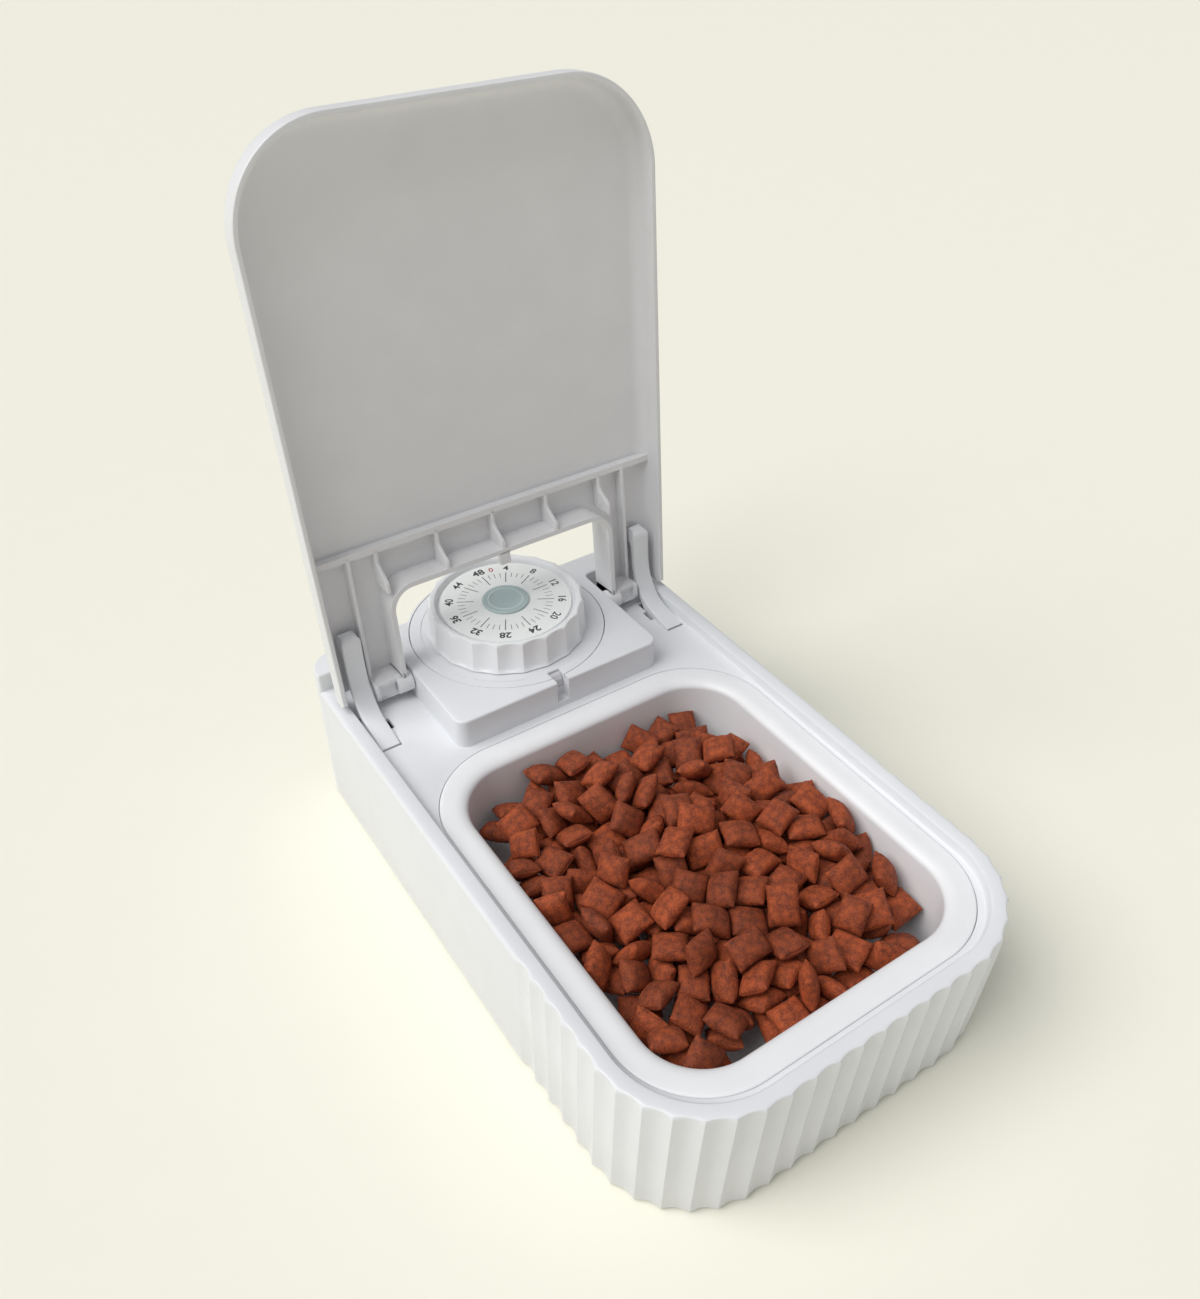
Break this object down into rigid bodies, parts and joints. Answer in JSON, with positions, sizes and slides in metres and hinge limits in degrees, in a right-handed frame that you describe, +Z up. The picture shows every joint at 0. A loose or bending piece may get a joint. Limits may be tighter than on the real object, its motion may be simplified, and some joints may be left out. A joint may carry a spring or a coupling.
{
  "type": "automatic pet feeder",
  "caption": "Automatic pet feeder: fluted body with a lift-out bowl, a sprung lid on two lift arms and a ribbed dial timer that releases it.",
  "frame": {"origin": "centre of the outer box on the plane that the feet stand on, with the lid open", "axes": "+Z up, +Y towards the hinge and dial end, +X to the right when the bowl end faces the viewer"},
  "size_m": [0.18, 0.3038, 0.3112],
  "materials": {
    "white_shell": "fine satin moulded plastic",
    "bowl_white": "smooth satin moulded plastic",
    "knob_white": "satin moulded plastic with sharp ribs",
    "dial_face": "printed white disc with dark hour numbers",
    "hub_grey": "satin grey-green cap",
    "catch_grey": "grey moulded plastic",
    "gear_nylon": "natural nylon",
    "case_grey": "plain moulded plastic",
    "steel": "zinc-plated steel",
    "foot_rubber": "soft matt rubber",
    "circuit_board": "green solder mask",
    "battery_wrap": "plain dark sleeve"
  },
  "bodies": {
    "housing": {"top_housing": "white_shell", "bottom_cover": "white_shell", "battery": "battery_wrap", "battery_contact_spring": "steel", "battery_contact_plate": "steel", "timer_cover_plate": "white_shell", "timer_case": "case_grey", "timer_case_cover": "case_grey", "motor_body": "steel", "circuit_board": "circuit_board", "idler_arbor": "steel", "catch_spring": "steel", "arm_pin_left": "steel", "arm_pin_right": "steel", "arm_spring_left": "steel", "arm_spring_right": "steel", "hinge_pin_left": "steel", "hinge_pin_right": "steel", "foot_1": "foot_rubber", "foot_2": "foot_rubber", "foot_3": "foot_rubber", "foot_4": "foot_rubber", "cover_screw_1": "steel", "cover_screw_2": "steel", "cover_screw_3": "steel", "cover_screw_4": "steel", "timer_screw_1": "steel", "timer_screw_2": "steel", "timer_screw_3": "steel"},
    "lid": {"lid": "white_shell"},
    "lift_arm_left": {"lift_arm_left": "white_shell"},
    "lift_arm_right": {"lift_arm_right": "white_shell"},
    "dial": {"dial_knob": "knob_white", "dial_face": "dial_face", "hub_cap": "hub_grey", "dial_shaft": "gear_nylon", "trip_cam": "gear_nylon", "dial_gear": "gear_nylon"},
    "idler": {"idler_gear": "gear_nylon"},
    "motor_rotor": {"motor_pinion": "gear_nylon"},
    "catch": {"release_catch": "catch_grey"},
    "bowl": {"bowl": "bowl_white"},
    "battery_door": {"battery_door": "white_shell"}
  },
  "joints": [
    {"name": "lid_hinge", "type": "hinge", "parent": "housing", "child": "lid", "pos_m": [0, 0.10035, 0.0703], "axis": [1, 0, 0], "range_deg": [0, 95.5], "stiffness_Nm_per_rad": 0.1, "springref_deg": -20.05},
    {"name": "lift_arm_left_pivot", "type": "hinge", "parent": "housing", "child": "lift_arm_left", "pos_m": [-0.07675, 0.08755, 0.0554], "axis": [1, 0, 0], "range_deg": [0, 95.5]},
    {"name": "lift_arm_right_pivot", "type": "hinge", "parent": "housing", "child": "lift_arm_right", "pos_m": [0.07675, 0.08755, 0.0554], "axis": [1, 0, 0], "range_deg": [0, 95.5]},
    {"name": "dial_spin", "type": "hinge", "parent": "housing", "child": "dial", "pos_m": [0, 0.10415, 0.0764], "axis": [0, 0, 1], "continuous": true},
    {"name": "idler_spin", "type": "hinge", "parent": "housing", "child": "idler", "pos_m": [0.02275, 0.10415, 0.0634], "axis": [0, 0, 1], "continuous": true},
    {"name": "motor_spin", "type": "hinge", "parent": "housing", "child": "motor_rotor", "pos_m": [0.03188, 0.11996, 0.0614], "axis": [0, 0, 1], "continuous": true},
    {"name": "catch_slide", "type": "slide", "parent": "housing", "child": "catch", "axis": [0, 1, 0], "range_m": [-0.0022, 0], "stiffness_N_per_m": 150, "springref_m": 0.002, "deforming": ["catch_spring"]},
    {"name": "bowl_lift", "type": "slide", "parent": "housing", "child": "bowl", "axis": [0, 0, -1], "range_m": [-0.06, 0]},
    {"name": "battery_door_hinge", "type": "hinge", "parent": "housing", "child": "battery_door", "pos_m": [0, 0.06325, 0.0022], "axis": [-1, 0, 0], "range_deg": [0, 85]}
  ],
  "couplings": [
    {"joint": "lift_arm_left_pivot", "follows": "lid_hinge", "ratio": 1},
    {"joint": "lift_arm_right_pivot", "follows": "lid_hinge", "ratio": 1},
    {"joint": "idler_spin", "follows": "dial_spin", "ratio": -4},
    {"joint": "motor_spin", "follows": "dial_spin", "ratio": 16}
  ]
}
